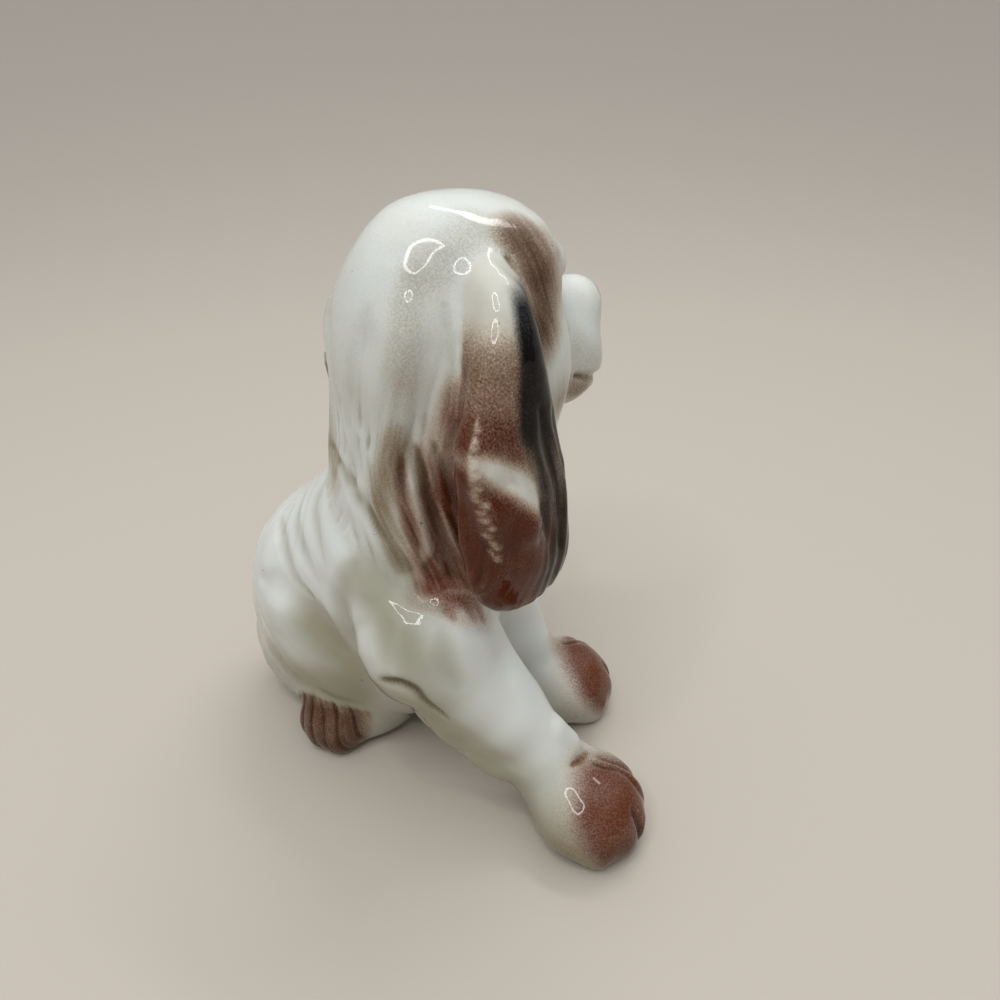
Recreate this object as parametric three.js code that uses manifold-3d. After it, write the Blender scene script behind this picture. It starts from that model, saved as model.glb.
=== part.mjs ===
// Sitting spaniel puppy, a slip-cast porcelain figurine. Millimetres, +Z up, the chest faces +X.
// Each casting is a skin drawn round a spine, out to a smooth blend of simple rounded forms.
// The castings are trimmed to one another, which leaves one thin gap of luting slip per joint.
import * as THREE from 'three';
import { mergeVertices } from 'three/addons/utils/BufferGeometryUtils.js';
import Module from 'manifold-3d';

// Casting practice
const WALL = 3;
const SLIP_GAP = 0.3;
const VENT_DIAMETER = 11.6;

// Torso
const RUMP_LENGTH = 43;
const RUMP_WIDTH = 31;
const RUMP_HEIGHT = 42;
const SEAT_LENGTH = 36;
const SEAT_WIDTH = 26;
const SEAT_HEIGHT = 22;
const BACK_DIAMETER = 38;
const CHEST_LENGTH = 27;
const CHEST_WIDTH = 30;
const CHEST_HEIGHT = 34;
const HAUNCH_LENGTH = 29;
const HAUNCH_WIDTH = 17;
const HAUNCH_HEIGHT = 26;
const SHOULDER_DIAMETER = 19;

// Head and neck
const HEAD_TURN = 55;
const SKULL_LENGTH = 28;
const SKULL_WIDTH = 29;
const SKULL_HEIGHT = 32;
const BROW_WIDTH = 24;
const BROW_HEIGHT = 15;
const CHEEK_DIAMETER = 18;
const BIB_WIDTH = 25;
const BIB_DEPTH = 21;
const MUZZLE_LENGTH = 20;
const MUZZLE_WIDTH = 16;
const MUZZLE_HEIGHT = 16.5;
const NOSE_WIDTH = 7.2;
const NOSE_HEIGHT = 5.6;
const NAPE_DIAMETER = 28.4;
const RUFF_DIAMETER = 33.4;
const NECK_DIAMETER = 31;
const NECK_JOINT_TILT = 35;
const LOCK_DEPTH = 1.1;

// Ears
const EAR_LENGTH = 45.6;
const EAR_WIDTH = 18.4;
const EAR_ROOT_WIDTH = 8.8;
const EAR_TIP_WIDTH = 17.4;
const EAR_THICKNESS = 6.6;
const EAR_RELIEF = 0.8;

// Front legs
const UPPER_ARM_DIAMETER = 21;
const FOREARM_DIAMETER = 13.4;
const WRIST_DIAMETER = 12.4;
const FEATHER_DEPTH = 4.6;
const PAW_LENGTH = 18;
const PAW_WIDTH = 16.2;
const PAW_HEIGHT = 13.6;
const HEEL_WIDTH = 19.4;

// Hind feet and tail
const HIND_FOOT_LENGTH = 22;
const HIND_FOOT_WIDTH = 15;
const HIND_FOOT_HEIGHT = 13.4;
const TOE_DEPTH = 3.2;
const SOLE_FLAT = 0.7;
const TAIL_DIAMETER = 9;
const TAIL_SWEEP = 44;

// Stance: how far the main points stand from the seat, along, across and above the ground
const CHEST_AHEAD = 18;
const CHEST_RISE = 38;
const NECK_RISE = 45.4;
const HEAD_RISE = 79.5;
const LEAN = 6;
const RIGHT_PAW_AHEAD = 49.8;
const LEFT_PAW_AHEAD = 39;
const FRONT_SPREAD = 27.2;
const LEFT_FOOT_AHEAD = 16;
const RIGHT_FOOT_AHEAD = 3.4;
const HIND_SPREAD = 27.2;

// Places, measured from the seat before the whole is centred
const at = (x, y, z) => new THREE.Vector3(x, y, z);
const SEAT = at(0, 0, 0);
const CHEST = at(CHEST_AHEAD, -LEAN - 0.5, CHEST_RISE);
const NECK_JOINT = at(CHEST_AHEAD - 1, -LEAN, NECK_RISE);
const HEAD_CENTRE = at(CHEST_AHEAD + 4.6, -LEAN - 0.1, HEAD_RISE);
const RIGHT_PAW = { place: at(RIGHT_PAW_AHEAD, LEAN - FRONT_SPREAD, 0), heading: -15 };
const LEFT_PAW = { place: at(LEFT_PAW_AHEAD, LEAN, 0), heading: 20 };
const RIGHT_FOOT = { place: at(RIGHT_FOOT_AHEAD, 16.5 - HIND_SPREAD, 0), heading: 234 };
const LEFT_FOOT = { place: at(LEFT_FOOT_AHEAD, 16.5, 0), heading: 12 };
const CUTTER = 400;

const radians = THREE.MathUtils.degToRad;
const UP = at(0, 0, 1);
const wasm = await Module();
wasm.setup();

// Rounded forms: each gives the distance of a point from its surface, negative inside
function ellipsoid(centre, radii, turn = 0) {
  const across = new THREE.Vector3();
  const slope = new THREE.Vector3();
  return (point) => {
    across.copy(point).sub(centre).applyAxisAngle(UP, -radians(turn)).divide(radii);
    slope.copy(across).divide(radii);
    const depth = across.length();
    return depth < 1e-6 ? -Math.min(radii.x, radii.y, radii.z) : (depth * (depth - 1)) / slope.length();
  };
}

function taper(from, to, fromDiameter, toDiameter) {
  const line = new THREE.Line3(from, to);
  const nearest = new THREE.Vector3();
  return (point) => {
    const share = line.closestPointToPointParameter(point, true);
    line.at(share, nearest);
    return nearest.distanceTo(point) - THREE.MathUtils.lerp(fromDiameter, toDiameter, share) / 2;
  };
}

function blend(softness, ...forms) {
  return (point) => {
    const distances = forms.map((form) => form(point));
    return distances.reduce((kept, next) => {
      const mix = Math.max(softness - Math.abs(kept - next), 0) / softness;
      return Math.min(kept, next) - (mix * mix * softness) / 4;
    });
  };
}

// Relief: lines drawn over a form, cut into it or, where the depth is negative, raised from it
function carve(form, lines) {
  const drawn = lines.map(({ stops, radius, depth }) => {
    const places = new THREE.CatmullRomCurve3(stops).getPoints(4 * stops.length);
    const strokes = places.slice(1).map((place, index) => new THREE.Line3(places[index], place));
    return { strokes, radius, depth };
  });
  const nearest = new THREE.Vector3();
  return (point) => {
    const away = form(point);
    if (Math.abs(away) > 4) {
      return away;
    }
    const changes = drawn.map(({ strokes, radius, depth }) => {
      const gaps = strokes.map((line) => line.closestPointToPoint(point, true, nearest).distanceTo(point));
      const touch = Math.max(0, 1 - (Math.min(...gaps) / radius) ** 2);
      return depth * touch * touch;
    });
    return away + Math.max(0, ...changes) + Math.min(0, ...changes);
  };
}

// How far from a spine point, along a direction, the form's surface lies
function reach(form, start, direction, grow) {
  const probe = new THREE.Vector3();
  const outside = (far) => form(probe.copy(start).addScaledVector(direction, far)) - grow;
  let near = 0;
  let far = 0.1;
  while (outside(far) < 0) {
    near = far;
    far += Math.max(0.15, -0.6 * outside(far));
  }
  for (let halving = 0; halving < 22; halving += 1) {
    const middle = (near + far) / 2;
    if (outside(middle) < 0) {
      near = middle;
    } else {
      far = middle;
    }
  }
  return near;
}

// A capsule bent along the spine and pushed out to the form's surface, as a closed solid
function skin(form, spine, options) {
  const { sides, rings, caps, side = at(0, 1, 0), spread = at(1, 1, 1), grow = 0, frame = null } = options;
  const curve = new THREE.CatmullRomCurve3(spine);
  const shape = new THREE.CapsuleGeometry(1, 1, caps, sides, rings);
  const places = shape.getAttribute('position');
  const vertex = new THREE.Vector3();
  for (let index = 0; index < places.count; index += 1) {
    vertex.fromBufferAttribute(places, index);
    const along = THREE.MathUtils.clamp(vertex.y, -0.5, 0.5);
    const start = curve.getPointAt(along + 0.5);
    const tangent = curve.getTangentAt(along + 0.5);
    const second = tangent.clone().cross(side).normalize();
    const first = tangent.clone().cross(second);
    const outward = new THREE.Matrix4().makeBasis(first, tangent, second);
    const direction = vertex.setY(vertex.y - along).multiply(spread).transformDirection(outward);
    start.addScaledVector(direction, reach(form, start, direction, grow));
    places.setXYZ(index, start.x, start.y, start.z);
  }
  if (frame) {
    shape.applyMatrix4(frame);
  }
  return solid(shape);
}

// A three.js geometry as a solid that can be joined and cut, and back again
function solid(geometry) {
  geometry.deleteAttribute('normal');
  geometry.deleteAttribute('uv');
  const merged = mergeVertices(geometry, 1e-4);
  const vertProperties = new Float32Array(merged.getAttribute('position').array);
  const triVerts = new Uint32Array(merged.index.array);
  return new wasm.Manifold(new wasm.Mesh({ numProp: 3, vertProperties, triVerts }));
}

function box(length, width, height, middle, tilt = 0) {
  const shape = new THREE.BoxGeometry(length, width, height);
  shape.applyMatrix4(new THREE.Matrix4().makeRotationY(radians(tilt)));
  return solid(shape.translate(middle.x, middle.y, middle.z));
}

function largest(body) {
  const pieces = body.decompose();
  return pieces.reduce((kept, next) => (next.volume() > kept.volume() ? next : kept));
}

function casting(name, body, color) {
  const mesh = largest(body).getMesh();
  const geometry = new THREE.BufferGeometry();
  geometry.setAttribute('position', new THREE.BufferAttribute(mesh.vertProperties.slice(), 3));
  geometry.setIndex(new THREE.BufferAttribute(mesh.triVerts.slice(), 1));
  geometry.computeVertexNormals();
  const glaze = new THREE.MeshStandardMaterial({ color, roughness: 0.12, metalness: 0 });
  const made = new THREE.Mesh(geometry, glaze);
  made.name = name;
  return made;
}

const half = (...sizes) => at(...sizes).multiplyScalar(0.5);
const offset = (place, x, y, z) => place.clone().add(at(x, y, z));
const ahead = (place, heading, forward, left, up) =>
  at(forward, left, up).applyAxisAngle(UP, radians(heading)).add(place);
const below = (height) => box(CUTTER, CUTTER, CUTTER, at(0, 0, height - CUTTER / 2));
const floor = below(0);

// Torso: rump on the ground, back rising to the neck, chest and shoulders over the front legs
const rump = offset(SEAT, 0, 0, RUMP_HEIGHT / 2 - SOLE_FLAT);
const rightHaunch = offset(SEAT, 9, -9, HAUNCH_HEIGHT / 2 + 7);
const leftHaunch = offset(SEAT, 8, 14, HAUNCH_HEIGHT / 2 + 1);
const rightShoulder = offset(CHEST, 0.5, 6 - CHEST_WIDTH / 2, 4);
const leftShoulder = offset(CHEST, 1, CHEST_WIDTH / 2 - 6, 0);
const torsoForm = blend(
  9,
  ellipsoid(rump, half(RUMP_LENGTH, RUMP_WIDTH, RUMP_HEIGHT)),
  ellipsoid(offset(SEAT, -4, 0, SEAT_HEIGHT / 2 - 2), half(SEAT_LENGTH, SEAT_WIDTH, SEAT_HEIGHT)),
  taper(offset(rump, 2.5, -1.5, 10), offset(NECK_JOINT, -2.6, 0, 0.8), BACK_DIAMETER, NECK_DIAMETER),
  ellipsoid(CHEST, half(CHEST_LENGTH, CHEST_WIDTH, CHEST_HEIGHT)),
  ellipsoid(rightHaunch, half(HAUNCH_LENGTH, HAUNCH_WIDTH, HAUNCH_HEIGHT)),
  ellipsoid(leftHaunch, half(HAUNCH_LENGTH, HAUNCH_WIDTH, HAUNCH_HEIGHT)),
  ellipsoid(rightShoulder, half(SHOULDER_DIAMETER, SHOULDER_DIAMETER, SHOULDER_DIAMETER)),
  ellipsoid(leftShoulder, half(SHOULDER_DIAMETER, SHOULDER_DIAMETER, SHOULDER_DIAMETER)),
);
const torsoSpine = [
  offset(rump, 0, 0, -10),
  offset(rump, 3, -1.5, 8),
  offset(CHEST, -6, 1, 4),
  offset(NECK_JOINT, 0, 0, 4),
];
const torsoSkin = (sides, rings, caps, grow) => skin(torsoForm, torsoSpine, { sides, rings, caps, grow });
const neckCut = (gap) => {
  const rise = at(0, 0, CUTTER / 2 + gap).applyAxisAngle(at(0, 1, 0), radians(NECK_JOINT_TILT));
  return box(CUTTER, CUTTER, CUTTER, rise.add(NECK_JOINT), NECK_JOINT_TILT);
};
const vent = new THREE.CylinderGeometry(VENT_DIAMETER / 2, VENT_DIAMETER / 2, 4 * WALL, 24);
vent.rotateX(Math.PI / 2).translate(SEAT.x, SEAT.y, 0);
const torsoHollow = torsoSkin(20, 10, 4, -WALL).subtract(below(WALL));
const torsoOuter = torsoSkin(32, 18, 7, 0).subtract(floor).subtract(neckCut(-SLIP_GAP / 2));
const torsoTrim = torsoSkin(32, 18, 7, SLIP_GAP);
const torso = torsoOuter.subtract(torsoHollow).subtract(solid(vent));

// Head: a hollow column of neck ruff, skull, brow and cheeks, with the muzzle joined on in front
const headFrame = new THREE.Matrix4().makeRotationZ(radians(HEAD_TURN)).setPosition(HEAD_CENTRE);
const neckEnd = NECK_JOINT.clone().applyMatrix4(headFrame.clone().invert());
const headBlank = blend(
  7,
  ellipsoid(at(-2, 0, 2), half(SKULL_LENGTH, SKULL_WIDTH, SKULL_HEIGHT)),
  ellipsoid(at(7.5, 0, 9), half(BROW_HEIGHT, BROW_WIDTH, BROW_HEIGHT)),
  ellipsoid(at(5.6, 7, -5.4), half(CHEEK_DIAMETER, 0.9 * CHEEK_DIAMETER, CHEEK_DIAMETER)),
  ellipsoid(at(5.6, -7, -5.4), half(CHEEK_DIAMETER, 0.9 * CHEEK_DIAMETER, CHEEK_DIAMETER)),
  ellipsoid(at(5.5, 0.5, -21), half(BIB_DEPTH, BIB_WIDTH, 34)),
  taper(at(-3, 0, -6), offset(neckEnd, 0, 0, -4), NAPE_DIAMETER, RUFF_DIAMETER),
);
const locks = (side) => {
  const lock = (radius, share, ...stops) => ({
    stops: stops.map(([forward, out, up]) => at(forward, side * out, up)),
    radius,
    depth: share * LOCK_DEPTH,
  });
  return [
    lock(4.4, 1, [-7.6, 12, 9], [-10.4, 12.4, 0], [-13, 10.2, -11], [-11.4, 10.8, -19], [-7.6, 12.2, -32]),
    lock(3.4, 0.7, [-14.4, 8.4, -3], [-17.1, 4, -15], [-16.6, 5, -23], [-14, 9, -32]),
    lock(3.4, 0.5, [-15.8, 6, 2], [-17.4, 3, -8], [-18.2, 0, -18]),
    lock(3.2, -0.5, [-14, 9, 2], [-15.6, 7, -8], [-15, 7.6, -20], [-12, 10.2, -31]),
  ];
};
const headForm = carve(headBlank, [...locks(-1), ...locks(1)]);
const headSpine = [offset(neckEnd, 0, 0, 0), at(-2, 1, -14), at(-1, 0, 5)];
const headSkin = (sides, rings, caps, grow) =>
  skin(headForm, headSpine, { sides, rings, caps, grow, frame: headFrame });
const muzzleBack = 6.6;
const muzzleMiddle = at(muzzleBack + MUZZLE_LENGTH / 2, 0, -6.4);
const noseTip = at(muzzleBack + MUZZLE_LENGTH - 1.8, 0, 0.6);
const muzzleForm = blend(
  4,
  ellipsoid(muzzleMiddle, half(MUZZLE_LENGTH, MUZZLE_WIDTH, MUZZLE_HEIGHT)),
  ellipsoid(offset(muzzleMiddle, 1.5, 3.6, -2.2), half(14, MUZZLE_WIDTH - 6, MUZZLE_HEIGHT - 5)),
  ellipsoid(offset(muzzleMiddle, 1.5, -3.6, -2.2), half(14, MUZZLE_WIDTH - 6, MUZZLE_HEIGHT - 5)),
  taper(at(4, 0, 0.5), offset(noseTip, -3, 0, -1.7), NOSE_WIDTH + 5, NOSE_WIDTH + 1.6),
  ellipsoid(noseTip, half(5, NOSE_WIDTH, NOSE_HEIGHT)),
);
const muzzleSpine = [at(2, 0, -4), offset(noseTip, -4.5, 0, -4.2)];
const muzzle = (grow) =>
  skin(muzzleForm, muzzleSpine, { sides: 24, rings: 9, caps: 6, grow, frame: headFrame });
const headOuter = headSkin(60, 32, 7, 0).add(muzzle(0));
const headTrim = headSkin(60, 32, 7, SLIP_GAP).add(muzzle(SLIP_GAP));
const aboveNeck = neckCut(SLIP_GAP / 2);
const head = headOuter.intersect(aboveNeck).subtract(headSkin(20, 10, 4, -WALL));

// Ears: flat pendants that start inside the skull, swell and round off beside the throat
// Each is modelled with a crest, the folds beside it and a round lobe, placed by how far down the ear's hang
// they lie, as a share of it, and how far ahead of its middle
function ear(side, sway, flare) {
  const hang = new THREE.CatmullRomCurve3([
    at(-2.2, side * 10.5, 5.4),
    at(-2.6, side * 16.4, 2.4),
    at(0.5 * sway - 4.4, side * (19.5 + 0.3 * flare), 8 - 0.36 * EAR_LENGTH),
    at(sway - 4.2, side * (20.6 + 0.7 * flare), 8 - 0.6 * EAR_LENGTH),
    at(sway - 2.5, side * (20 + flare), 8 - 0.82 * EAR_LENGTH),
  ]);
  const stations = hang.getSpacedPoints(13);
  const forms = stations.map((place, index) => {
    const share = index / (stations.length - 1);
    const swell = THREE.MathUtils.smoothstep(share, 0.1, 0.72);
    const narrow = THREE.MathUtils.smoothstep(share, 0.75, 1);
    const full = THREE.MathUtils.lerp(EAR_ROOT_WIDTH, EAR_WIDTH, swell);
    const width = full - narrow * (EAR_WIDTH - EAR_TIP_WIDTH);
    return ellipsoid(place, half(width - 1, EAR_THICKNESS - 1, 15));
  });
  const spread = at(EAR_WIDTH, EAR_WIDTH, EAR_THICKNESS);
  const options = { sides: 40, rings: 28, caps: 6, side: at(1, 0, 0), spread, frame: headFrame };
  const outer = (side * EAR_THICKNESS) / 2;
  const fold = (radius, share, ...stops) => ({
    stops: stops.map(([hung, across]) => offset(hang.getPointAt(hung), across, outer, 0)),
    radius,
    depth: share * EAR_RELIEF,
  });
  const relief = [
    fold(2.8, -1, [0.36, -7], [0.52, -7.4], [0.7, -5.3], [0.82, -4.9], [0.95, -5.4]),
    fold(2.6, 1, [0.62, -9.8], [0.8, -7.8], [0.95, -8.2]),
    fold(2.4, 1, [0.5, 3.4], [0.7, 3.5], [0.92, 3.2]),
    fold(3, 0.6, [0.52, -4], [0.62, -1], [0.72, 1.5]),
    fold(4.4, -1, [0.8, -1], [0.95, -0.5]),
  ];
  const pendant = skin(carve(blend(1.5, ...forms), relief), stations, options);
  return pendant.subtract(headTrim).subtract(torsoTrim);
}

// Paws: a rounded block with a full heel and four toes across its front
function paw({ place, heading }, length, width, height, heelWidth) {
  const middle = offset(place, 0, 0, height / 2 - SOLE_FLAT);
  const heel = ahead(middle, heading, 0.04 * length, 0, 0);
  const toes = [-1.5, -0.5, 0.5, 1.5].map((step) => {
    const lead = length / 2 - 2.2 - 0.9 * step * step;
    const knuckle = ahead(middle, heading, lead, (step * width) / 4.3, -0.14 * height);
    return ellipsoid(knuckle, half(2.2 * TOE_DEPTH, width / 3.6, 0.66 * height), heading);
  });
  return blend(
    1.6,
    ellipsoid(middle, half(length, width, height), heading),
    ellipsoid(heel, half(0.84 * length, heelWidth, height), heading),
    ...toes,
  );
}

// Front legs: from inside the shoulder, down the forearm with its feathering, to the paw
function frontLeg(shoulder, elbow, foot) {
  const wrist = ahead(foot.place, foot.heading, -0.36 * PAW_LENGTH, 0, 0.76 * PAW_HEIGHT);
  const feather = offset(elbow.clone().lerp(wrist, 0.28), -5, -0.4, -5.9);
  const featherEnd = offset(elbow.clone().lerp(wrist, 0.7), -3.6, -1, -5.6);
  const form = blend(
    3.2,
    taper(shoulder, elbow, SHOULDER_DIAMETER, UPPER_ARM_DIAMETER),
    taper(elbow, elbow.clone().lerp(wrist, 0.55), UPPER_ARM_DIAMETER, FOREARM_DIAMETER),
    taper(elbow.clone().lerp(wrist, 0.45), wrist, FOREARM_DIAMETER, WRIST_DIAMETER),
    taper(feather, featherEnd, 2 * FEATHER_DEPTH, 1.6 * FEATHER_DEPTH),
    paw(foot, PAW_LENGTH, PAW_WIDTH, PAW_HEIGHT, HEEL_WIDTH),
  );
  const toeEnd = ahead(foot.place, foot.heading, 0.22 * PAW_LENGTH, 0, 0.42 * PAW_HEIGHT);
  const leg = skin(form, [shoulder, elbow, wrist, toeEnd], { sides: 26, rings: 24, caps: 6 });
  return leg.subtract(torsoTrim).subtract(headTrim).subtract(floor);
}

// Hind feet: the part of each foot that shows outside the haunch
function hindFoot(foot, haunch, grow = 0) {
  const instep = ahead(foot.place, foot.heading, -0.2 * HIND_FOOT_LENGTH, 0, 0.5 * HIND_FOOT_HEIGHT);
  const heel = ahead(foot.place, foot.heading, -0.75 * HIND_FOOT_LENGTH, 0, 0.5 * HIND_FOOT_HEIGHT);
  const form = blend(
    4,
    taper(ahead(haunch, foot.heading, 1, 0, -6), instep, HAUNCH_WIDTH - 2, HIND_FOOT_HEIGHT),
    taper(heel, instep, HIND_FOOT_HEIGHT - 1, HIND_FOOT_HEIGHT),
    paw(foot, HIND_FOOT_LENGTH, HIND_FOOT_WIDTH, HIND_FOOT_HEIGHT, HIND_FOOT_WIDTH),
  );
  const toeEnd = ahead(foot.place, foot.heading, 0.25 * HIND_FOOT_LENGTH, 0, 0.42 * HIND_FOOT_HEIGHT);
  const made = skin(form, [heel, instep, toeEnd], { sides: 24, rings: 16, caps: 6, side: UP, grow });
  return made.subtract(torsoTrim).subtract(floor);
}

// Tail: short and low, laid round the left side of the rump
const tailPlaces = [0, 1, 2, 3].map((step) => {
  const turn = radians(168 - (TAIL_SWEEP * step) / 3);
  const out = at(0.44 * RUMP_LENGTH * Math.cos(turn), (0.48 * RUMP_WIDTH + 1) * Math.sin(turn), 0);
  return SEAT.clone().add(out).setZ(TAIL_DIAMETER * (0.62 - 0.06 * step));
});
const tailForm = blend(
  2,
  taper(tailPlaces[0], tailPlaces[1], TAIL_DIAMETER + 1, TAIL_DIAMETER),
  taper(tailPlaces[1], tailPlaces[2], TAIL_DIAMETER, 0.9 * TAIL_DIAMETER),
  taper(tailPlaces[2], tailPlaces[3], 0.9 * TAIL_DIAMETER, 0.6 * TAIL_DIAMETER),
);
const tailSkin = skin(tailForm, tailPlaces, { sides: 16, rings: 14, caps: 4, side: UP });
const leftFootTrim = hindFoot(LEFT_FOOT, leftHaunch, SLIP_GAP);
const tail = tailSkin.subtract(torsoTrim).subtract(leftFootTrim).subtract(floor);

const rightLeg = frontLeg(rightShoulder, offset(rightShoulder, 4, -4, -9), RIGHT_PAW);
const leftLeg = frontLeg(leftShoulder, offset(leftShoulder, 3, 2, -14), LEFT_PAW);
const rightFoot = hindFoot(RIGHT_FOOT, rightHaunch);
const leftFoot = hindFoot(LEFT_FOOT, leftHaunch);

const puppy = new THREE.Group();
puppy.add(
  casting('torso', torso, '#e8e8e2'),
  casting('head', head, '#e6e6e1'),
  casting('right_ear', ear(-1, 0, 0), '#8c6450'),
  casting('left_ear', ear(1, 6, 7), '#8c6450'),
  casting('right_front_leg', rightLeg, '#e9e9e4'),
  casting('left_front_leg', leftLeg, '#e9e9e4'),
  casting('right_hind_foot', rightFoot, '#dcd6cf'),
  casting('left_hind_foot', leftFoot, '#dcd6cf'),
  casting('tail', tail, '#e4e4de'),
);
const bounds = new THREE.Box3().setFromObject(puppy);
const centre = bounds.getCenter(new THREE.Vector3());
puppy.position.set(-centre.x, -centre.y, -bounds.min.z);

export default puppy;
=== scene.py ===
import math

import bmesh
import bpy
import numpy as np
from mathutils import Matrix, Vector
from mathutils.bvhtree import BVHTree


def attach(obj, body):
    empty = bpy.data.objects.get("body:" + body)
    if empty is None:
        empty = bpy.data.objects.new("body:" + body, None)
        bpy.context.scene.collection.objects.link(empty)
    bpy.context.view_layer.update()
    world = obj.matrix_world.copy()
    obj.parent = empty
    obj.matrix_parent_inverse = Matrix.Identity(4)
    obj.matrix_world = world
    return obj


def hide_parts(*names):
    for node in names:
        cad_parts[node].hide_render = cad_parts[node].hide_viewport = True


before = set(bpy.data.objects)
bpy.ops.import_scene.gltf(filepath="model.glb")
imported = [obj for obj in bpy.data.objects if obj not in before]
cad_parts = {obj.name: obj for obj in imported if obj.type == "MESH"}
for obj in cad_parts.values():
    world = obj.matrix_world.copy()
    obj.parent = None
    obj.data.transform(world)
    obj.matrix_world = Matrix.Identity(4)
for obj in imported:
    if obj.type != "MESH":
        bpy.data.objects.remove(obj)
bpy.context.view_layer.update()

# Joined castings
# The puppy is slip-cast in nine pieces of porcelain clay, which are stuck together with wet slip.
# The seams are sponged until they close, so the damp clay is one soft skin before hair is cut into it.
MM = 0.001
SLIP_SWELL = 1.0
SPONGED_BACK = 0.65
CLAY_GRAIN = 0.8
VENT_PLACE = np.array((-18.24, 2.85))
VENT_RADIUS = 5.8
SEAT_THICKNESS = 3.0
LEFT_SWAY = 6.0
CHEEK_SEAM = [(12, -3, 6), (12.5, -8, 1), (12.5, -8.5, -6), (11, -6, -13), (11, 0, -14)]
RUFF_SEAM = [(-9, -19, 40), (-4, -21, 44), (3, -22.5, 44), (9, -20.5, 43), (14, -15, 39)]
EAR_TIP = np.array([(-8.4, -22, -31.4), (-5.4, -22.8, -31)])


def worked(mesh, *steps):
    """A copy of a mesh after some modifiers, each given as its type and its settings."""
    holder = bpy.data.objects.new("damp_clay", mesh)
    bpy.context.scene.collection.objects.link(holder)
    for kind, settings in steps:
        modifier = holder.modifiers.new(kind.title(), kind)
        for setting, value in settings.items():
            setattr(modifier, setting, value)
    graph = bpy.context.evaluated_depsgraph_get()
    made = bpy.data.meshes.new_from_object(holder.evaluated_get(graph))
    bpy.data.objects.remove(holder)
    return made


def patches(faces, kind):
    """Groups of touching faces of the same kind, the largest group first."""
    left = set(faces)
    groups = []
    for start in faces:
        if start not in left:
            continue
        left.remove(start)
        group = [start]
        for face in group:
            for edge in face.edges:
                for near in edge.link_faces:
                    if near in left and kind(near) == kind(face):
                        left.remove(near)
                        group.append(near)
        groups.append(group)
    return sorted(groups, key=len, reverse=True)


clay = bmesh.new()
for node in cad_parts.values():
    casting = bmesh.new()
    casting.from_mesh(node.data)
    bmesh.ops.remove_doubles(casting, verts=casting.verts, dist=0.001 * MM)
    casting.normal_update()
    for vert in casting.verts:
        vert.co += vert.normal * SLIP_SWELL * MM
    swollen = bpy.data.meshes.new("swollen_casting")
    casting.to_mesh(swollen)
    casting.free()
    clay.from_mesh(swollen)
    bpy.data.meshes.remove(swollen)
bmesh.ops.create_cone(
    clay,
    cap_ends=True,
    segments=32,
    radius1=(VENT_RADIUS + 0.5) * MM,
    radius2=(VENT_RADIUS + 0.5) * MM,
    depth=(SEAT_THICKNESS + 2 * SLIP_SWELL) * MM,
    matrix=Matrix.Translation(Vector((*VENT_PLACE, SEAT_THICKNESS / 2)) * MM),
)
joined = bpy.data.meshes.new("joined_clay")
clay.to_mesh(joined)
clay.free()
joined = worked(joined, ("REMESH", {"mode": "VOXEL", "voxel_size": CLAY_GRAIN * MM}))
clay = bmesh.new()
clay.from_mesh(joined)
outside = set(patches(list(clay.faces), lambda face: 0)[0])
bmesh.ops.delete(clay, geom=[face for face in clay.faces if face not in outside], context="FACES")
clay.to_mesh(joined)
clay.free()
skin = worked(
    joined,
    ("SMOOTH", {"factor": 0.5, "iterations": 4}),
    ("DISPLACE", {"strength": -SPONGED_BACK * MM, "mid_level": 0.0}),
    ("SMOOTH", {"factor": 0.5, "iterations": 6}),
    ("SUBSURF", {"levels": 1, "render_levels": 1}),
)


def column(collection, name, width, kind=float):
    """One attribute of every item of a mesh collection, as rows."""
    values = np.empty(len(collection) * width, kind)
    collection.foreach_get(name, values)
    return values.reshape(-1, width)


points = column(skin.vertices, "co", 3) / MM
points[:, 2] = np.maximum(points[:, 2], 0.0)
edges = column(skin.edges, "vertices", 2, np.int32)
quads = column(skin.loops, "vertex_index", 1, np.int32).reshape(-1, 4)
neighbours = np.bincount(edges.ravel(), minlength=len(points))


def spread(values, rounds):
    """Values evened out over the skin, a little further with each round."""
    for _ in range(rounds):
        total = np.bincount(edges[:, 0], values[edges[:, 1]], len(values))
        total += np.bincount(edges[:, 1], values[edges[:, 0]], len(values))
        values = 0.5 * values + 0.5 * total / neighbours
    return values


corners = []
sides = []
owners = []
for name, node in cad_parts.items():
    start = len(corners)
    corners += [vertex.co.copy() for vertex in node.data.vertices]
    sides += [[start + index for index in polygon.vertices] for polygon in node.data.polygons]
    owners += [name] * len(node.data.polygons)
castings = BVHTree.FromPolygons(corners, sides)
nearest = np.array([owners[castings.find_nearest(place * MM)[2]] for place in map(Vector, points)])
belongs = {name: spread((nearest == name).astype(float), 8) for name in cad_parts}


def ramp(low, high, values):
    """A soft step from 0 at low to 1 at high."""
    share = np.clip((values - low) / (high - low), 0.0, 1.0)
    return share * share * (3.0 - 2.0 * share)


def bend(stops, steps=6):
    """A smooth line through given stops."""
    stops = np.array(stops, float)
    padded = np.vstack([2 * stops[0] - stops[1], stops, 2 * stops[-1] - stops[-2]])
    share = np.linspace(0, 1, steps, endpoint=False)[:, None]
    spans = []
    for before, start, end, after in zip(padded, padded[1:], padded[2:], padded[3:]):
        slope_in = (end - before) / 2
        slope_out = (after - start) / 2
        cubic = 2 * start - 2 * end + slope_in + slope_out
        square = 3 * end - 3 * start - 2 * slope_in - slope_out
        spans.append(((cubic * share + square) * share + slope_in) * share + start)
    return np.vstack(spans + [stops[-1:]])


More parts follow.
